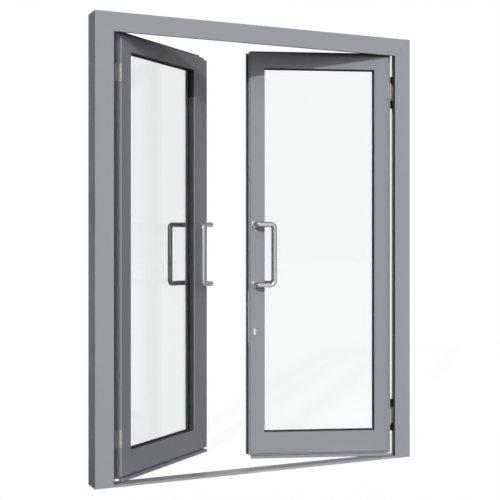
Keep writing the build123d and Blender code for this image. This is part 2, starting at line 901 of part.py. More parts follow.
with BuildPart() as faceplate:
    with BuildSketch(across(right, lock_body)):
        Polygon(*section_box(right, plate_front, plate_bottom, plate_back, plate_top), align=None)
    extrude(amount=faceplate_thickness)
    with BuildSketch(across(right, lock_body)):
        bolt_windows(right, bolt_clearance)
    extrude(amount=faceplate_thickness, mode=Mode.SUBTRACT)
write(faceplate, "lock_faceplate")

bolt_bottom, bolt_top = bolt_levels[0]
with BuildPart() as deadbolt:
    with BuildSketch(across(right, bolt_end - bolt_length)):
        Polygon(*section_box(right, bolt_front, bolt_bottom, bolt_back, bolt_top), align=None)
    extrude(amount=bolt_length)
write(deadbolt, "deadbolt")

# Sprung latch, bevelled on the side that meets the strike as the leaf closes
with BuildPart() as latch:
    with BuildSketch(right.plan.offset(bolt_levels[1][0])):
        latch_plan = plan(
            right,
            (latch_end - latch_length, bolt_front),
            (latch_end - latch_proud, bolt_front),
            (latch_end, bolt_back - bolt_thickness / 4),
            (latch_end, bolt_back),
            (latch_end - latch_length, bolt_back),
        )
        Polygon(*latch_plan, align=None)
    extrude(amount=latch_depth)
write(latch, "latch_bolt")

# Lock cylinder through the stile, open in the middle for the cam on its plug
cylinder_start = leaf_setback - cylinder_proud
cylinder_length = leaf_thickness + 2 * cylinder_proud
cam_front = strip_middle - cam_width / 2
with BuildPart() as cylinder:
    with BuildSketch(facing(right, cylinder_start)):
        cylinder_profile(0)
        with Locations((cylinder_in - axis_in, cylinder_height)):
            Circle(plug_diameter / 2 + running_gap, mode=Mode.SUBTRACT)
    extrude(amount=-right.hand * cylinder_length)
    with BuildSketch(facing(right, cam_front - seat_gap)):
        with Locations((cylinder_in - axis_in, cylinder_height)):
            Circle(cam_room)
    extrude(amount=-right.hand * (cam_width + 2 * seat_gap), mode=Mode.SUBTRACT)
write(cylinder, "lock_cylinder")

with BuildPart() as plug:
    with BuildSketch(facing(right, cylinder_start)):
        with Locations((cylinder_in - axis_in, cylinder_height)):
            Circle(plug_diameter / 2)
    extrude(amount=-right.hand * cylinder_length)
    for depth, inwards in ((cylinder_start, 1), (cylinder_start + cylinder_length, -1)):
        with BuildSketch(facing(right, depth)):
            with Locations((cylinder_in - axis_in, cylinder_height)):
                Rectangle(keyway_width, keyway_height)
        extrude(amount=-inwards * right.hand * keyway_depth, mode=Mode.SUBTRACT)
    with BuildSketch(facing(right, cam_front)):
        with Locations((cylinder_in - axis_in, cylinder_height + cam_reach / 2)):
            Rectangle(cam_thickness, cam_reach)
    extrude(amount=-right.hand * cam_width)
write(plug, "cylinder_plug")

# Strike on the edge of the left leaf
with BuildPart() as strike:
    with BuildSketch(across(left, meeting_body)):
        Polygon(*section_box(left, plate_front, plate_bottom, plate_back, plate_top), align=None)
    extrude(amount=strike_thickness)
    with BuildSketch(across(left, meeting_body)):
        bolt_windows(left, strike_clearance)
    extrude(amount=strike_thickness, mode=Mode.SUBTRACT)
write(strike, "strike_plate")

# Flush bolts in the edge of the left leaf, each a case with a sliding rod and its thumb piece
rod_spot = plan(left, (rod_place, rod_back))[0]
bolt_low, bolt_high = bolt_case_levels
with BuildPart() as bolt_cases:
    for level in bolt_case_levels:
        with BuildSketch(across(left, meeting_body - bolt_case_depth)):
            case_box = section_box(
                left,
                bolt_case_front,
                level - bolt_case_height / 2,
                bolt_case_back,
                level + bolt_case_height / 2,
            )
            Polygon(*case_box, align=None)
        extrude(amount=bolt_case_depth)
        with BuildSketch(left.plan.offset(level - bolt_case_height / 2)):
            with Locations(rod_spot):
                Circle(rod_diameter / 2 + rod_clearance)
        extrude(amount=bolt_case_height, mode=Mode.SUBTRACT)
        slot_half = (thumb_height + rod_throw) / 2 + bolt_clearance
        with BuildSketch(across(left, rod_place)):
            slot_box = section_box(
                left,
                rod_back - thumb_width / 2 - bolt_clearance,
                level - slot_half,
                rod_back + thumb_width / 2 + bolt_clearance,
                level + slot_half,
            )
            Polygon(*slot_box, align=None)
        extrude(amount=rod_in, mode=Mode.SUBTRACT)
write(bolt_cases, "flush_bolt_cases")

for name, level, rod_end, away in (
    ("bottom_bolt_rod", bolt_low, tongue_bottom + rod_margin, -1),
    ("top_bolt_rod", bolt_high, tongue_top - rod_margin, 1),
):
    rod_start = level - away * bolt_case_height / 2
    thumb_bottom = level - away * rod_throw / 2 - thumb_height / 2
    with BuildPart() as rod:
        with BuildSketch(left.plan.offset(rod_start)):
            with Locations(rod_spot):
                Circle(rod_diameter / 2)
        extrude(amount=rod_end - rod_start)
        with BuildSketch(left.plan.offset(thumb_bottom)):
            thumb = plan_box(
                left,
                rod_place,
                rod_back - thumb_width / 2,
                meeting_body + thumb_proud,
                rod_back + thumb_width / 2,
            )
            Polygon(*thumb, align=None)
        extrude(amount=thumb_height)
    write(rod, name)
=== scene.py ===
# %% [markdown]
# # A glazed double door
# The door is two aluminium leaves with large panes, hung in a mitred frame. Every profile, hinge and
# lock part already exists as a solid at its real size. This lesson dresses those solids: it rounds their
# sharp edges, gives each one a finish made of shader nodes, and adds the small pieces that a hand or an
# eye finds on a real door, such as bent handles, soft gasket lips and screws.

# %% Load the solids
import json

import bmesh
import bpy
import numpy as np
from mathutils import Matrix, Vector


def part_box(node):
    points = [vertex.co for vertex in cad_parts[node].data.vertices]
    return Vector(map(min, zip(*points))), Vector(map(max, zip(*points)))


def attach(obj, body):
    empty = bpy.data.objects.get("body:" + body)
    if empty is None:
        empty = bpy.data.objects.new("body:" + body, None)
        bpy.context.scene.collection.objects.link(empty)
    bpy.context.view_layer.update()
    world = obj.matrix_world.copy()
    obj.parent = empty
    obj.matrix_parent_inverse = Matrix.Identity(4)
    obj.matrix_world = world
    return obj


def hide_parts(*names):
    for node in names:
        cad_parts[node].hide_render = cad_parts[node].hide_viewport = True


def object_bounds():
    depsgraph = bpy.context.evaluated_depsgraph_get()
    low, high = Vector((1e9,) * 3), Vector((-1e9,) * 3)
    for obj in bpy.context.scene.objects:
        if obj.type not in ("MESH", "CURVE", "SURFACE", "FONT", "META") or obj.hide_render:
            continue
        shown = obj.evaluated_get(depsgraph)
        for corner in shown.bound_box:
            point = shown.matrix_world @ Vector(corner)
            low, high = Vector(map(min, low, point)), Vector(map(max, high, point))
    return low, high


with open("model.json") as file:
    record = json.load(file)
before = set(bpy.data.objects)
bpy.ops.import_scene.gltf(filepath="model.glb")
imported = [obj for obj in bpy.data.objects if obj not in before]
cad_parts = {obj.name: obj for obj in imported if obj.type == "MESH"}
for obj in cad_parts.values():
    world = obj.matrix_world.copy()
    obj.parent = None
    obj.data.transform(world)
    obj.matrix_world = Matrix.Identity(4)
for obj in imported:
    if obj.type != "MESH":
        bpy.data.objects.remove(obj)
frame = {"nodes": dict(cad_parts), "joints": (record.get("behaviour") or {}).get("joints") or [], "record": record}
solid_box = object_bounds()
record = frame["record"]
joints = {joint["name"]: joint for joint in frame["joints"]}
slot_of = {part["node"]: part["material_slot"] for part in record["subparts"]}
mm = 0.001
up = np.array((0.0, 0.0, 1.0))

# %% [markdown]
# ## The camera
# The picture was taken with a long lens, level, from the left of the doorway. The film plane was slid
# down a little instead of tipping the camera, which keeps the uprights parallel. Blender's shift does the
# same thing, so the camera stays level here too.

# %% Set the camera
scene = bpy.context.scene
scene.view_settings.view_transform = "Standard"
eye = (-2.0823, -4.45205, 1.10895)
heading = -24.58
camera_data = bpy.data.cameras.new("camera")
camera_data.sensor_width = 36
camera_data.lens = 73.55
camera_data.shift_y = -0.0216
camera = bpy.data.objects.new("camera", camera_data)
camera.location = eye
camera.rotation_euler = np.radians((90, 0, heading))
scene.collection.objects.link(camera)
scene.camera = camera
print("camera", eye, "heading", heading)

# %% [markdown]
# ## Places on a leaf
# A leaf is easiest to think about when it is closed: u runs along it from the outer side of the frame,
# v goes back from the frame's face, and z is height. Each leaf is then turned about its hinge pin. The
# pin's place and the angle are read from the joints, so a piece that is placed by u, v and z always
# lands on the leaf.

# %% Turn leaf sizes into places
axis_in = 68 * mm
axis_back = 83 * mm
hand_of = {"left": 1, "right": -1}


def leaf_directions(side):
    """Hinge axis on the floor, direction along the leaf and direction back through it, at rest."""
    hand = hand_of[side]
    joint = joints[f"{side}_swing"]
    turn = np.radians(-joint["range_deg"][0])
    axis = np.array(joint["pos_m"]) * (1, 1, 0)
    along = np.array((hand * np.cos(turn), np.sin(turn), 0))
    back = np.array((-hand * np.sin(turn), np.cos(turn), 0))
    return axis, along, back


def on_leaf(side, u, v, z):
    """Axis, plus (u - axis_in) along the leaf, plus (v - axis_back) through it, plus z upwards."""
    axis, along, back = leaf_directions(side)
    u, v, z = (np.asarray(value, float)[..., None] for value in (u, v, z))
    return axis + (u - axis_in) * along + (v - axis_back) * back + z * up


def on_frame(side, u, v, z):
    """The same sizes for a piece on the fixed frame, which isn't turned."""
    hand = hand_of[side]
    half_width = solid_box[1][0]
    front = solid_box_front
    u, v, z = (np.asarray(value, float) for value in (u, v, z))
    return np.stack(np.broadcast_arrays(-hand * (half_width - u), front + v, z), -1)


def leaf_sizes(side, node):
    """Lowest and highest u, v and z of a solid on a leaf, worked out from all its points at once."""
    mesh = frame["nodes"][node].data
    points = np.empty(3 * len(mesh.vertices))
    mesh.vertices.foreach_get("co", points)
    axis, along, back = leaf_directions(side)
    away = points.reshape(-1, 3) - axis
    sizes = np.stack((away @ along + axis_in, away @ back + axis_back, away[:, 2]), -1)
    return sizes.min(0), sizes.max(0)


solid_box_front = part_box("jamb_left")[0].y
print("left leaf lies along", leaf_directions("left")[1].round(3))
print("left pane, u v z:", *(corner.round(4) for corner in leaf_sizes("left", "glass_panes_left")))

# %% [markdown]
# ## Meshes from grids
# Every new piece below is a grid of points: one parameter runs along a path, the other runs round a
# section. Numpy works out all the points at once, and the quads between neighbours follow from the row
# and column numbers alone. The faces are then turned outwards in one step.

# %% Build a mesh piece from grids
def grid_faces(rows, columns, loop_rows=False):
    """Corner numbers of the quads of a grid whose columns close on themselves."""
    i, j = np.meshgrid(np.arange(rows if loop_rows else rows - 1), np.arange(columns), indexing="ij")
    below = (i + 1) % rows
    beside = (j + 1) % columns
    corners = (i * columns + j, below * columns + j, below * columns + beside, i * columns + beside)
    return np.stack(corners, -1).reshape(-1, 4)


def make_piece(name, grids, body, finish, loop_rows=False, sharp=40):
    """One closed shell for each grid of points (rows, columns, 3), with flat ends unless the rows loop."""
    points = []
    faces = []
    start = 0
    for grid in grids:
        rows, columns = grid.shape[:2]
        points.append(grid.reshape(-1, 3))
        faces += (grid_faces(rows, columns, loop_rows) + start).tolist()
        if not loop_rows:
            faces.append((np.arange(columns)[::-1] + start).tolist())
            faces.append((np.arange(columns) + start + (rows - 1) * columns).tolist())
        start += rows * columns
    mesh = bpy.data.meshes.new(name)
    mesh.from_pydata(np.concatenate(points), [], faces)
    shell = bmesh.new()
    shell.from_mesh(mesh)
    bmesh.ops.recalc_face_normals(shell, faces=shell.faces)
    shell.to_mesh(mesh)
    shell.free()
    mesh.shade_smooth()
    mesh.set_sharp_from_angle(angle=np.radians(sharp))
    mesh.materials.append(finish)
    piece = bpy.data.objects.new(name, mesh)
    scene.collection.objects.link(piece)
    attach(piece, body)
    print(name, len(mesh.polygons), "faces")
    return piece


# %% [markdown]
# ## Nodes for the finishes
# A finish is a Principled shader with a little noise behind it. The noise reads Object coordinates, in
# metres, so a grain of one millimetre is one millimetre on every piece. Three helpers are enough: a
# noise that can be stretched along one direction, a colour that the noise moves between two tones, and
# a bump.

# %% Node helpers
def new_finish(name, **values):
    """A material with a Principled shader, its constant values set on the sockets."""
    material = bpy.data.materials.new(name)
    material.use_nodes = True
    shader = material.node_tree.nodes["Principled BSDF"]
    for socket, value in values.items():
        shader.inputs[socket.replace("_", " ")].default_value = value
    return material, shader


def noise(material, scale, stretch=(1, 1, 1), detail=2):
    """Noise over Object coordinates; a smaller stretch along an axis draws the grain out along it."""
    nodes = material.node_tree.nodes
    links = material.node_tree.links
    place = nodes.new("ShaderNodeTexCoord")
    mapping = nodes.new("ShaderNodeMapping")
    mapping.inputs["Scale"].default_value = stretch
    texture = nodes.new("ShaderNodeTexNoise")
    texture.inputs["Scale"].default_value = scale
    texture.inputs["Detail"].default_value = detail
    links.new(place.outputs["Object"], mapping.inputs["Vector"])
    links.new(mapping.outputs["Vector"], texture.inputs["Vector"])
    return texture.outputs["Fac"]


def between(material, source, socket, low, high, start=0.3, end=0.7):
    """Moves a socket from low to high as the source goes from start to end."""
    nodes = material.node_tree.nodes
    links = material.node_tree.links
    if socket.type == "RGBA":
        ramp = nodes.new("ShaderNodeValToRGB")
        for element, position, colour in zip(ramp.color_ramp.elements, (start, end), (low, high)):
            element.position = position
            element.color = (*colour, 1)
        links.new(source, ramp.inputs["Fac"])
        links.new(ramp.outputs["Color"], socket)
        return
    ramp = nodes.new("ShaderNodeMapRange")
    for name, value in zip(("From Min", "From Max", "To Min", "To Max"), (start, end, low, high)):
        ramp.inputs[name].default_value = value
    links.new(source, ramp.inputs["Value"])
    links.new(ramp.outputs["Result"], socket)


def emboss(material, shader, source, distance, strength=1.0):
    """Bump of that height, in metres, from the source."""
    bump = material.node_tree.nodes.new("ShaderNodeBump")
    bump.inputs["Strength"].default_value = strength
    bump.inputs["Distance"].default_value = distance
    material.node_tree.links.new(source, bump.inputs["Height"])
    material.node_tree.links.new(bump.outputs["Normal"], shader.inputs["Normal"])


# %% [markdown]
# ## Powder coat
# The profiles are sprayed with a satin grey powder that melts into a skin. Up close it isn't smooth: it
# has the shallow dimples called orange peel, a few millimetres apart, and a fine speckle where the powder
# grains flowed together. A flat grey would look like plastic, so speckle moves the colour, dimples make
# the bump, and a slow cloud changes the gloss. The sides of the frame that go against the wall get a
# darker tone, which is painted shade. They are found by their distance from the middle of the door.

# %% Powder coat on the frame and the leaves
def powder_coat(name, dark, light, gloss):
    """Grey satin skin: speckle of 1 mm in the colour, dimples of 4 mm in the bump, clouds in the gloss."""
    material, shader = new_finish(name, Specular_IOR_Level=gloss)
    speckle = noise(material, 900, detail=3)
    between(material, speckle, shader.inputs["Base Color"], dark, light)
    between(material, noise(material, 6), shader.inputs["Roughness"], 0.38, 0.47)
    emboss(material, shader, noise(material, 260), 0.00006)
    return material


wall_side = solid_box[1][0] - 0.4 * mm


def shade_wall_sides_painted(material, dark, light):
    """Painted shade: a darker tone where the distance from the middle plane is over that of the wall sides."""
    nodes = material.node_tree.nodes
    links = material.node_tree.links
    shader = nodes["Principled BSDF"]
    coat = shader.inputs["Base Color"].links[0].from_socket
    split = nodes.new("ShaderNodeSeparateXYZ")
    links.new(nodes.new("ShaderNodeTexCoord").outputs["Object"], split.inputs["Vector"])
    distance = nodes.new("ShaderNodeMath")
    distance.operation = "ABSOLUTE"
    links.new(split.outputs["X"], distance.inputs[0])
    outside = nodes.new("ShaderNodeMath")
    outside.operation = "GREATER_THAN"
    outside.inputs[1].default_value = wall_side
    links.new(distance.outputs[0], outside.inputs[0])
    mix = nodes.new("ShaderNodeMix")
    mix.data_type = "RGBA"
    links.new(outside.outputs[0], mix.inputs["Factor"])
    links.new(coat, mix.inputs[6])
    between(material, noise(material, 700, detail=3), mix.inputs[7], dark, light)
    links.new(mix.outputs[2], shader.inputs["Base Color"])


finishes = {
    "frame_paint": powder_coat("frame_powder_coat", (0.328, 0.344, 0.37), (0.374, 0.393, 0.42), 0.25),
    "leaf_paint": powder_coat("leaf_powder_coat", (0.278, 0.292, 0.314), (0.318, 0.334, 0.358), 0.12),
}
# Painted shade on the wall sides of the frame.
shade_wall_sides_painted(finishes["frame_paint"], (0.128, 0.145, 0.17), (0.15, 0.172, 0.2))
print("powder coat:", finishes["frame_paint"].name, finishes["leaf_paint"].name)

# %% [markdown]
# ## Metals
# The handles are brushed stainless steel. The far handles get a darker copy of it, which is painted shade
# for a handle that lies in shade and mirrors a dark surround. The hinge straps and bolts are zinc plated,
# the hinge bodies are dark coated castings, and the threshold is satin anodised aluminium. What tells them
# apart is roughness and grain: a brushed surface is a noise drawn out a hundred times along one direction.

# %% Metal finishes
def metal(name, dark, light, rough, grain, stretch=(1, 1, 1), height=0.00001, metallic=1.0):
    """Metal whose grain moves its tone and its roughness, and stands a hundredth of a millimetre high."""
    material, shader = new_finish(name, Metallic=metallic)
    streaks = noise(material, grain, stretch, detail=3)
    between(material, streaks, shader.inputs["Base Color"], dark, light)
    between(material, streaks, shader.inputs["Roughness"], rough[0], rough[1])
    emboss(material, shader, streaks, height, 0.6)
    return material


along_x = (0.01, 1, 1)
along_z = (1, 1, 0.01)
finishes["handle_steel"] = metal(
    "brushed_stainless", (0.5, 0.51, 0.515), (0.62, 0.63, 0.635), (0.18, 0.26), 1500, along_z
)
# Painted shade: a darker copy of the handle steel for the far handles, which lie in shade.
finishes["far_handle_painted_shade_steel"] = metal(
    "painted_shade_stainless", (0.13, 0.135, 0.14), (0.19, 0.195, 0.2), (0.2, 0.3), 1500, along_z
)
finishes["pin_steel"] = metal("bright_zinc", (0.46, 0.46, 0.45), (0.6, 0.6, 0.59), (0.24, 0.36), 500)
finishes["hinge_light"] = metal(
    "zinc_strap", (0.6, 0.6, 0.58), (0.74, 0.74, 0.72), (0.34, 0.46), 400, metallic=0.25
)
finishes["hinge_dark"] = metal(
    "dark_hinge_coat", (0.03, 0.031, 0.034), (0.05, 0.052, 0.056), (0.36, 0.5), 700, metallic=0.4
)
finishes["threshold_metal"] = metal(
    "anodised_sill", (0.46, 0.47, 0.48), (0.56, 0.57, 0.58), (0.34, 0.46), 900, along_x, metallic=0.5
)
finishes["mill_aluminium"] = metal(
    "mill_aluminium", (0.5, 0.5, 0.51), (0.62, 0.62, 0.63), (0.35, 0.5), 300
)
finishes["keep_metal"] = metal("satin_keep", (0.4, 0.4, 0.4), (0.52, 0.52, 0.52), (0.3, 0.42), 600)
finishes["case_steel"] = metal("plated_case", (0.38, 0.37, 0.34), (0.5, 0.49, 0.46), (0.35, 0.5), 350)
finishes["spacer_metal"] = metal(
    "black_spacer_bar", (0.018, 0.018, 0.02), (0.03, 0.03, 0.033), (0.4, 0.5), 800, metallic=0.3
)
finishes["cylinder_nickel"] = metal(
    "satin_nickel", (0.68, 0.68, 0.67), (0.82, 0.82, 0.81), (0.26, 0.38), 900
)
finishes["plug_nickel"] = metal(
    "nickel_plug", (0.62, 0.62, 0.61), (0.76, 0.76, 0.75), (0.24, 0.36), 900
)
print(len(finishes), "finishes so far")

# %% [markdown]
# ## Rubber, plastic and glass
# The gaskets are black rubber with a dull skin, the bushes are pale plastic, and the glazing blocks and
# end caps are dark grey plastic. The panes are clear float glass, a little green because of the iron in
# it. White behind two panes should come out as a pale grey green, so the tint is slight. A pane lets light
# through, and its shadow is switched off below, because otherwise it would count as a solid sheet to a
# lamp.

# %% Rubber, plastic and glass finishes
def dull_skin(name, dark, light, rough, grain, height):
    """Soft or moulded material: fine grain in the tone, the roughness and the bump."""
    material, shader = new_finish(name, Specular_IOR_Level=0.35)
    skin = noise(material, grain, detail=4)
    between(material, skin, shader.inputs["Base Color"], dark, light)
    between(material, skin, shader.inputs["Roughness"], rough[0], rough[1])
    emboss(material, shader, skin, height)
    return material


def float_glass(name):
    """Clear sheet with a slight green tint and the faintest unevenness of rolled glass."""
    material, shader = new_finish(name, Transmission_Weight=1.0, IOR=1.3, Roughness=0.0)
    thin = (0.95, 0.967, 0.962)
    thick = (0.944, 0.962, 0.957)
    between(material, noise(material, 3), shader.inputs["Base Color"], thick, thin)
    return material


finishes["gasket_rubber"] = dull_skin(
    "gasket_rubber", (0.02, 0.021, 0.023), (0.04, 0.042, 0.045), (0.5, 0.7), 1200, 0.00003
)
finishes["bush_plastic"] = dull_skin(
    "bush_plastic", (0.42, 0.42, 0.41), (0.5, 0.5, 0.49), (0.35, 0.5), 800, 0.00002
)
finishes["block_plastic"] = dull_skin(
    "block_plastic", (0.1, 0.11, 0.12), (0.15, 0.16, 0.17), (0.45, 0.6), 800, 0.00002
)
finishes["pane_glass"] = float_glass("float_glass")
print(sorted(finishes))

# %% [markdown]
# ## Dress the solids
# Each solid names the slot that its finish comes from. The solids have knife-sharp edges, and no real
# extrusion does: its corners are rounded by about half a millimetre, and that thin rounding catches the
# light. Three modifiers do it without touching the mesh: Weld joins the loose triangles, Decimate turns
# flat areas back into single faces, and Bevel rounds what is still an edge.

# %% Finishes and rounded edges on the solids
edge_radius = {
    "frame_paint": 0.8 * mm,
    "leaf_paint": 0.8 * mm,
    "threshold_metal": 0.8 * mm,
    "hinge_light": 0.6 * mm,
    "hinge_dark": 0.6 * mm,
    "keep_metal": 0.4 * mm,
}


def round_edges(solid, radius):
    """Joins the triangles, flattens them into faces and rounds every edge that turns over 40 degrees."""
    weld = solid.modifiers.new("weld", "WELD")
    weld.merge_threshold = 0.01 * mm
    flat = solid.modifiers.new("flat faces", "DECIMATE")
    flat.decimate_type = "DISSOLVE"
    flat.angle_limit = np.radians(1)
    bevel = solid.modifiers.new("rounded edges", "BEVEL")
    bevel.width = radius
    bevel.segments = 2
    bevel.limit_method = "ANGLE"
    bevel.angle_limit = np.radians(40)


for node, solid in frame["nodes"].items():
    slot = slot_of[node]
    solid.data.materials.clear()
    solid.data.materials.append(finishes[slot])
    if slot in edge_radius:
        round_edges(solid, edge_radius[slot])
    if slot == "pane_glass":
        solid.visible_shadow = False
print(len(frame["nodes"]), "solids dressed")

# %% [markdown]
# ## Pull handles
# A pull handle is one stainless tube, bent four times: out from the stile, sideways over the glass, up,
# back, and in again. A round profile carried along that route is exactly that tube. Each bend turns the
# ring of points about the bend's own axis, so the ring never twists. A collar hides the joint where the
# tube meets the stile.

# %% Bend the handle tubes
def bent_route(corners, radius, steps=12):
    """Straight runs joined by arcs. At a corner that turns from a to b, the arc starts one radius before
    it, its point is start + r (sin t a + (1 - cos t) b), and the side vector turns with the tangent."""
    runs = np.diff(corners, axis=0)
    runs = runs / np.linalg.norm(runs, axis=1, keepdims=True)
    side = up
    centres = [corners[:1]]
    tangents = [runs[:1]]
    sides = [side[None]]
    t = np.linspace(0, np.pi / 2, steps)[:, None]
    for corner, a, b in zip(corners[1:-1], runs[:-1], runs[1:]):
        centres.append(corner - radius * a + radius * (np.sin(t) * a + (1 - np.cos(t)) * b))
        tangents.append(np.cos(t) * a + np.sin(t) * b)
        pole = np.cross(a, b)
        sides.append(side.dot(pole) * pole + side.dot(b) * (np.cos(t) * b - np.sin(t) * a))
        side = sides[-1][-1]
    centres.append(corners[-1:])
    tangents.append(runs[-1:])
    sides.append(side[None])
    return np.concatenate(centres), np.concatenate(tangents), np.concatenate(sides)


def tube(centres, tangents, sides, radius, columns=48):
    """Circle of that radius carried along the route: centre + r (cos w side + sin w (tangent x side))."""
    w = np.linspace(0, 2 * np.pi, columns, endpoint=False)[None, :, None]
    across = np.cross(tangents, sides)
    return centres[:, None] + radius * (np.cos(w) * sides[:, None] + np.sin(w) * across[:, None])


def turned(section, centre, out, columns=48):
    """Section of (radius, height) pairs turned about the direction out through the centre."""
    w = np.linspace(0, 2 * np.pi, columns, endpoint=False)[None, :, None]
    x = np.cross(up, out)
    spin = np.cos(w) * x + np.sin(w) * up
    return centre + section[:, 0, None, None] * spin + section[:, 1, None, None] * out


bend_radius = 20 * mm
tube_radius = 12.5 * mm
collar_radius = 16 * mm
collar_rims = ((11.5, 0.05), (16, 0.05), (16, 3.4), (15.5, 4.5), (14.4, 5), (12.6, 5), (11.5, 4.2))
collar_section = np.array(collar_rims) * mm


def handle_route(side, face_name):
    """Corners of the tube's centre line and the centres of its collars, from the sizes of its solid."""
    low, high = leaf_sizes(side, f"handle_{face_name}_{side}")
    fixing = high[0] - collar_radius
    grip = low[0] + tube_radius
    bottom = low[2] + collar_radius
    top = high[2] - collar_radius
    face, reach = low[1], high[1] - tube_radius
    if face_name == "near":
        face, reach = high[1], low[1] + tube_radius
    u = (fixing, fixing, grip, grip, fixing, fixing)
    v = (face, reach, reach, reach, reach, face)
    z = (bottom, bottom, bottom, top, top, top)
    return on_leaf(side, u, v, z)


for side in ("left", "right"):
    back = leaf_directions(side)[2]
    # The far handles take the darker steel, which is painted shade.
    for face_name, out, steel in (("near", -back, "handle_steel"), ("far", back, "far_handle_painted_shade_steel")):
        corners = handle_route(side, face_name)
        pull = make_piece(
            f"pull_{face_name}_{side}",
            [tube(*bent_route(corners, bend_radius), tube_radius)],
            f"{side}_leaf",
            finishes[steel],
        )
        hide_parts(f"handle_{face_name}_{side}")
        make_piece(
            f"pull_collars_{face_name}_{side}",
            [turned(collar_section, centre, out) for centre in (corners[0], corners[-1])],
            f"{side}_leaf",
            finishes[steel],
            loop_rows=True,
        )

# %% [markdown]
# ## Gasket lips
# Between the profile and the glass runs a rubber cover gasket, one on each face of the pane. It fills the
# joint, lines the side of the profile or the bead, and ends in a soft lip on the glass, which is why the
# step down to the pane looks black. Its section is a strip under the profile that goes on up the side and
# down a hollow curve to the lip. A mitred frame of it is easy: each corner of the opening moves inwards by
# the section's own width, so the grid is section points by four corners.

# %% Sweep the gaskets round the panes
glass_cover = 14 * mm
lip = 3 * mm
gasket_depth = 4 * mm
lining_thick = 1.2 * mm
front_lining = 17 * mm
back_lining = 13 * mm


def cover_section(lining, steps=8):
    """Pairs of (inwards, away from the glass): a strip under the profile, then up its side, over a half
    round top and down a hollow curve to the lip. The hollow is lip - (lip - thick) sin t inwards at
    (1 - cos t) of the height."""
    t = np.linspace(np.pi / 2, 0, steps)
    hollow_in = lip - (lip - lining_thick) * np.sin(t)
    hollow_out = (lining - lining_thick) * (1 - np.cos(t))
    w = np.linspace(np.pi, 0, steps)
    round_in = lining_thick / 2 * (1 + np.cos(w))
    round_out = lining - lining_thick + lining_thick / 2 * np.sin(w)
    strip = ((-glass_cover, 0), (-glass_cover, gasket_depth), (0, gasket_depth))
    top = np.stack((round_in, round_out), -1)
    hollow = np.stack((hollow_in, hollow_out), -1)
    return np.concatenate((strip, top, hollow[1:]))


def mitred_frame(side, section, glass, out):
    """Section carried round the opening: each corner moves in by the section's width."""
    low, high = leaf_sizes(side, f"glazing_gaskets_{side}")
    inwards = section[:, :1] + glass_cover
    u = (low[0] + high[0]) / 2 + np.array((-1, 1, 1, -1)) * ((high[0] - low[0]) / 2 - inwards)
    z = (low[2] + high[2]) / 2 + np.array((-1, -1, 1, 1)) * ((high[2] - low[2]) / 2 - inwards)
    v = glass + out * section[:, 1:] + np.zeros_like(u)
    return on_leaf(side, u, v, z)


for side in ("left", "right"):
    pane_front, pane_back = (corner[1] for corner in leaf_sizes(side, f"glass_panes_{side}"))
    rings = [
        mitred_frame(side, cover_section(front_lining), pane_front, -1),
        mitred_frame(side, cover_section(back_lining), pane_back, 1),
    ]
    gasket = make_piece(
        f"gasket_lips_{side}",
        rings,
        f"{side}_leaf",
        finishes["gasket_rubber"],
        loop_rows=True,
        sharp=50,
    )
    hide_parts(f"glazing_gaskets_{side}")

# %% [markdown]
# ## Edge seals
# Two more seals close the gaps round the leaves. A rubber bulb runs down the inner edge of each jamb, and
# shows as a black line beside the hinges. A strip with a rounded top lies along the top of each leaf. Both
# are one section carried along a straight run, so the grid is two rows of the section. The section is a
# superellipse, a rectangle with soft corners.

# %% Run the edge seals
def soft_box(half_wide, half_high, columns=32, power=5):
    """Pairs on a superellipse: half size times the sign of the cosine times its size to the power 2 / n."""
    w = np.linspace(0, 2 * np.pi, columns, endpoint=False)
    circle = np.stack((np.cos(w), np.sin(w)), -1)
    return np.sign(circle) * np.abs(circle) ** (2 / power) * (half_wide, half_high)


lip_edge = 87 * mm
bulb_half = np.array((2.1, 6.8)) * mm
bulb_middle = np.array((lip_edge + 1.9 * mm, 8 * mm))
sill_gap = 1 * mm
head_drop = 9 * mm
jamb_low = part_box("threshold")[1].z + sill_gap
jamb_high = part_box("stop_gasket")[1].z - head_drop
bulb = soft_box(*bulb_half) + bulb_middle
run_z = np.array((jamb_low, jamb_high))[:, None]
make_piece(
    "jamb_seals",
    [on_frame(side, bulb[:, 0], bulb[:, 1], run_z) for side in ("left", "right")],
    "frame",
    finishes["gasket_rubber"],
)

sunk = 0.2 * mm
top_half = np.array((5, 3.6)) * mm
top_back = 27 * mm
top_run = np.array((82, 798)) * mm
for side in ("left", "right"):
    leaf_top = leaf_sizes(side, f"top_rail_{side}")[1][2]
    strip = soft_box(*top_half) + (top_back, leaf_top + top_half[1] - sunk)
    u, v, z = np.broadcast_arrays(top_run[:, None], strip[:, 0], strip[:, 1])
    make_piece(
        f"top_seal_{side}",
        [on_leaf(side, u, v, z)],
        f"{side}_leaf",
        finishes["gasket_rubber"],
    )

# %% [markdown]
# ## End caps
# The stiles are hollow and run the full height of a leaf, so their tops would be open. A plastic cap is
# pressed into each chamber. The left free stile keeps an opening for the rod of the top bolt. A cap is the
# same soft outline again, carried up three short steps, the last one a little smaller.

# %% Press the caps into the stiles
profile_wall = 3 * mm
leg_depth = 20 * mm
near_drop = 14 * mm
near_chamber = np.array((9, 19)) * mm
main_chamber = np.array((23, 67)) * mm
free_ends = {"left": (838 * mm, 819 * mm), "right": (792 * mm, 799 * mm)}
cap_steps = np.array(((0, -3.5), (0, -1.1), (0.6, -0.5))) * mm


def end_cap(side, u_range, v_range, level):
    """Soft box over the chamber's range of u and v, smaller at the last step, its top under the level."""
    low, high = np.transpose((u_range, v_range))
    half = (high - low) / 2
    outline = soft_box(*half, columns=48, power=14)
    shrink = 1 - cap_steps[:, :1, None] / half
    u, v = np.moveaxis((low + high) / 2 + outline * shrink, -1, 0)
    return on_leaf(side, u, v, level + cap_steps[:, 1:] + np.zeros_like(u))


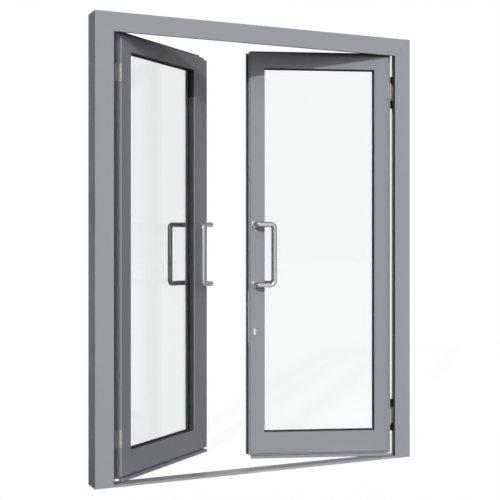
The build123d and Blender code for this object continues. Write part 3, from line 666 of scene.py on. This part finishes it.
for side, free_stile in (("left", "meeting_stile_left"), ("right", "lock_stile_right")):
    (hinge_low, _, _), (hinge_high, _, top) = leaf_sizes(side, f"hinge_stile_{side}")
    free_low = leaf_sizes(side, free_stile)[0][0]
    near_end, main_end = free_ends[side]
    hinge_near = (hinge_low + near_drop + profile_wall, hinge_high - profile_wall)
    hinge_main = (hinge_low + profile_wall, hinge_high - leg_depth - profile_wall)
    free_near = (free_low + profile_wall, near_end)
    free_main = (free_low + leg_depth + profile_wall, main_end)
    caps = [end_cap(side, u_range, near_chamber, top - near_drop) for u_range in (hinge_near, free_near)]
    caps += [end_cap(side, u_range, main_chamber, top) for u_range in (hinge_main, free_main)]
    make_piece(
        f"stile_caps_{side}",
        caps,
        f"{side}_leaf",
        finishes["block_plastic"],
        sharp=30,
    )

# %% [markdown]
# ## Screws
# Hinges, the lock plate, the strike and the bolts are held by screws with a hexagon socket. One head is
# a turned section whose inner rows follow a hexagon instead of a circle. All the heads of a group are
# made at once: the head's grid is added to every place, with its axis along that place's outward
# direction.

# %% Turn the screw heads
def screw_heads(places, outs, radius, height, columns=24):
    """Rows of (radius, height, socket): rim, edge, crown, socket edge and floor. On socket rows the
    radius is divided by the cosine of the angle from the middle of the hexagon's side."""
    rims = ((1, -0.5, 0), (1, 0.4, 0), (0.88, 0.9, 0), (0.7, 1, 0))
    socket = ((0.5, 1, 1), (0.46, 0.1, 1))
    rows = np.array(rims + socket)
    w = np.linspace(0, 2 * np.pi, columns, endpoint=False)
    flat = np.cos(np.pi / 6) / np.cos(np.mod(w, np.pi / 3) - np.pi / 6)
    reach = radius * rows[:, :1] * np.where(rows[:, 2:] > 0, flat, 1)
    rise = height * rows[:, 1:2] + np.zeros_like(reach)
    places = np.asarray(places)[:, None, None]
    outs = np.broadcast_to(np.asarray(outs), (len(places), 3))[:, None, None]
    guide = np.where(np.abs(outs[..., 2:]) > 0.9, (1.0, 0.0, 0.0), up)
    x = np.cross(guide, outs)
    y = np.cross(outs, x)
    turn = reach[..., None] * (np.cos(w)[:, None] * x + np.sin(w)[:, None] * y)
    return places + turn + rise[..., None] * outs


def screws(name, body, places, outs, radius=3.5 * mm, height=0.8 * mm):
    """One piece with a screw head at each place."""
    heads = screw_heads(places, outs, radius, height)
    return make_piece(name, list(heads), body, finishes["pin_steel"], sharp=30)


# %% Screws in the hinges
hinge_levels = np.array((206, 1862)) * mm
strap_outer = 74 * mm
strap_middle = 44 * mm
strap_steps = np.array((-25, 25)) * mm
base_top = 46 * mm
base_backs = np.array((69.5, 96.5)) * mm
base_steps = np.array((-61.5, 61.5)) * mm
base_screw = 2.5 * mm


def at_hinges(steps):
    """Heights of those steps above and below each hinge's middle."""
    return (hinge_levels[:, None] + steps).ravel()


for side in ("left", "right"):
    body = f"{side}_leaf"
    along = leaf_directions(side)[1]
    strap_places = on_leaf(side, strap_outer, strap_middle, at_hinges(strap_steps))
    screws(f"strap_screws_{side}", body, strap_places, -along)
    base_places = np.concatenate([on_frame(side, base_top, v, at_hinges(base_steps)) for v in base_backs])
    screws(f"base_screws_{side}", "frame", base_places, (hand_of[side], 0, 0), base_screw)

# %% [markdown]
# ## Hinge plates
# Beside each hinge a light plate is screwed to the edge of the leaf. It is a soft box again, but stood on
# its edge: the outline lies in v and z, and the steps go outwards along u, with a rounded rim.

# %% Screw the hinge plates to the leaves
stile_edge = 94 * mm
plate_back = 13 * mm
plate_half = np.array((6, 40)) * mm
plate_steps = np.array(((0, -0.05), (0, 1.1), (0.18, 1.5), (0.6, 1.6))) * mm
plate_top = stile_edge - plate_steps[-1, 1]
plate_screw_steps = np.array((-28, 0, 28)) * mm
plate_screw = (2.6 * mm, 0.5 * mm)


def hinge_plate(side, level):
    """Outline times (1 - step / half size) in v and z, at the step's height out from the leaf's edge."""
    outline = soft_box(*plate_half, columns=48, power=9)
    v, z = np.moveaxis(outline * (1 - plate_steps[:, :1, None] / plate_half), -1, 0)
    return on_leaf(side, stile_edge - plate_steps[:, 1:] + np.zeros_like(v), plate_back + v, level + z)


for side in ("left", "right"):
    body = f"{side}_leaf"
    plates = [hinge_plate(side, level) for level in hinge_levels]
    make_piece(f"hinge_plates_{side}", plates, body, finishes["hinge_light"], sharp=30)
    places = on_leaf(side, plate_top, plate_back, at_hinges(plate_screw_steps))
    screws(f"hinge_plate_screws_{side}", body, places, -leaf_directions(side)[1], *plate_screw)

# %% Screws in the lock plate, the strike and the bolt cases
face_screw = 0.4 * mm
plate_inset = np.array((11, -11)) * mm
plate_z = np.array([corner.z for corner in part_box("lock_faceplate")]) + plate_inset
plate_middle = 37 * mm
plate_face = leaf_sizes("right", "lock_faceplate")[1][0]
strike_face = leaf_sizes("left", "strike_plate")[1][0]
right_along = leaf_directions("right")[1]
left_along = leaf_directions("left")[1]
plate_places = on_leaf("right", plate_face, plate_middle, plate_z)
strike_places = on_leaf("left", strike_face, plate_middle, plate_z)
screws("faceplate_screws", "right_leaf", plate_places, right_along, height=face_screw)
screws("strike_screws", "left_leaf", strike_places, left_along, height=face_screw)

case_insets = np.array((10, 150, -150, -10)) * mm
case_back = 35 * mm
case_screw = 3 * mm
case_face = leaf_sizes("left", "flush_bolt_cases")[1][0]
case_z = np.repeat([corner.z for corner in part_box("flush_bolt_cases")], 2) + case_insets
case_places = on_leaf("left", case_face, case_back, case_z)
screws("bolt_case_screws", "left_leaf", case_places, left_along, case_screw, face_screw)

# %% [markdown]
# ## Floor and light
# The door stands on a plain white floor in front of nothing. What the camera sees, straight or through a
# pane, is white. The light that falls on the door is a low sun from the left of the camera and a wide soft
# light from the front, with a weaker one from behind, so faces that turn away from the front come out
# darker. A third setting is for reflections: metal looks like metal only when it mirrors bright and dark
# places, so the mirrored surround is bright in front, weaker behind and above, and dim at the left. The
# Light Path node tells the three apart.

# %% Tell seen, mirrored and lighting rays apart
def calculate(tree, operation, *values):
    """A Math node; each value is a number or another node's output."""
    node = tree.nodes.new("ShaderNodeMath")
    node.operation = operation
    for socket, value in zip(node.inputs, values):
        if isinstance(value, float):
            socket.default_value = value
        else:
            tree.links.new(value, socket)
    return node.outputs[0]


def by_ray(tree, seen, mirrored, lighting):
    """The first level for a straight look, the second after a reflection, the third for light on a
    surface. Light that a dull surface scatters through a pane is left out, because the lamps already
    shine through it."""
    path = tree.nodes.new("ShaderNodeLightPath")
    through = path.outputs["Is Transmission Ray"]
    straight = calculate(tree, "MAXIMUM", path.outputs["Is Camera Ray"], through)
    looked_at = calculate(tree, "MAXIMUM", straight, path.outputs["Is Glossy Ray"])
    reflected = calculate(tree, "GREATER_THAN", path.outputs["Glossy Depth"], 0.5)
    scattered = calculate(tree, "GREATER_THAN", path.outputs["Diffuse Depth"], 0.5)
    wanted = calculate(tree, "SUBTRACT", 1.0, calculate(tree, "MULTIPLY", through, scattered))
    after_mirror = calculate(tree, "MULTIPLY", looked_at, reflected)
    level = lighting
    for choice, value in ((looked_at, seen), (after_mirror, mirrored)):
        mix = tree.nodes.new("ShaderNodeMix")
        mix.data_type = "FLOAT"
        tree.links.new(choice, mix.inputs["Factor"])
        for socket, part in ((mix.inputs[2], level), (mix.inputs[3], value)):
            if isinstance(part, float):
                socket.default_value = part
            else:
                tree.links.new(part, socket)
        level = mix.outputs[0]
    return calculate(tree, "MULTIPLY", level, wanted)


def soft_light(tree, directions, base, *lamps):
    """Base, plus for each (axis, sharpness, amount) the amount times the cosine from the axis, where it
    is above 0, to the power of the sharpness."""
    level = base
    for axis, sharpness, amount in lamps:
        towards = tree.nodes.new("ShaderNodeVectorMath")
        towards.operation = "DOT_PRODUCT"
        towards.inputs[1].default_value = axis
        tree.links.new(directions, towards.inputs[0])
        facing = calculate(tree, "MAXIMUM", towards.outputs["Value"], 0.0)
        lobe = calculate(tree, "POWER", facing, sharpness)
        level = calculate(tree, "MULTIPLY_ADD", lobe, amount, level)
    return level


mirrored_lamps = (
    0.1,
    ((0, -1, 0), 2.0, 0.85),
    ((0, 1, 0), 2.0, 0.5),
    ((1, 0, 0), 3.0, 0.35),
    ((0, 0, 1), 1.5, 0.4),
)

# %% Floor
floor_mesh = bpy.data.meshes.new("floor")
floor_reach = 40.0
floor_tone = 0.16
floor_seen = 0.92
floor_corners = np.array(((-1, -1, 0), (1, -1, 0), (1, 1, 0), (-1, 1, 0))) * floor_reach
floor_mesh.from_pydata(floor_corners, [], [(0, 1, 2, 3)])
floor = bpy.data.objects.new("floor", floor_mesh)
scene.collection.objects.link(floor)
floor_finish = bpy.data.materials.new("white_floor")
floor_finish.use_nodes = True
floor_tree = floor_finish.node_tree
floor_shader = floor_tree.nodes["Principled BSDF"]
floor_shader.inputs["Base Color"].default_value = (floor_tone, floor_tone, floor_tone, 1)
floor_shader.inputs["Roughness"].default_value = 1.0
floor_shader.inputs["Specular IOR Level"].default_value = 0.0
floor_shader.inputs["Emission Color"].default_value = (1, 1, 1, 1)
outwards = floor_tree.nodes.new("ShaderNodeVectorMath")
outwards.operation = "NORMALIZE"
floor_tree.links.new(floor_tree.nodes.new("ShaderNodeTexCoord").outputs["Object"], outwards.inputs[0])
floor_mirrored = soft_light(floor_tree, outwards.outputs["Vector"], *mirrored_lamps)
floor_level = by_ray(floor_tree, floor_seen, floor_mirrored, 0.0)
floor_tree.links.new(floor_level, floor_shader.inputs["Emission Strength"])
floor_mesh.materials.append(floor_finish)
print("floor", 2 * floor_reach, "m wide")

# %% Sun and surround
sun_left = np.radians(39)
sun_slope = 0.487
to_sun = Vector((-np.sin(sun_left), -np.cos(sun_left), sun_slope * np.cos(sun_left))).normalized()
sun_data = bpy.data.lights.new("sun", "SUN")
sun_data.energy = 1.65
sun_data.angle = np.radians(1.2)
sun_data.cycles.use_multiple_importance_sampling = False
sun = bpy.data.objects.new("sun", sun_data)
sun.rotation_euler = to_sun.to_track_quat("Z", "Y").to_euler()
scene.collection.objects.link(sun)

world = bpy.data.worlds.new("surround")
scene.world = world
world.use_nodes = True
tree = world.node_tree
background = tree.nodes["Background"]
directions = tree.nodes.new("ShaderNodeTexCoord").outputs["Generated"]
front_left = (-0.34, -0.94, 0)
fill_lamps = (
    0.02,
    (front_left, 2.0, 1.27),
    ((0, -1, 0), 5.0, 0.84),
    ((0, 1, 0), 3.0, 1.5),
    ((1, 0, 0), 3.0, 0.25),
)
lighting = soft_light(tree, directions, *fill_lamps)
mirrored = soft_light(tree, directions, *mirrored_lamps)
background.inputs["Color"].default_value = (1, 1, 1, 1)
tree.links.new(by_ray(tree, 1.0, mirrored, lighting), background.inputs["Strength"])
print("sun towards", [round(part, 3) for part in to_sun])
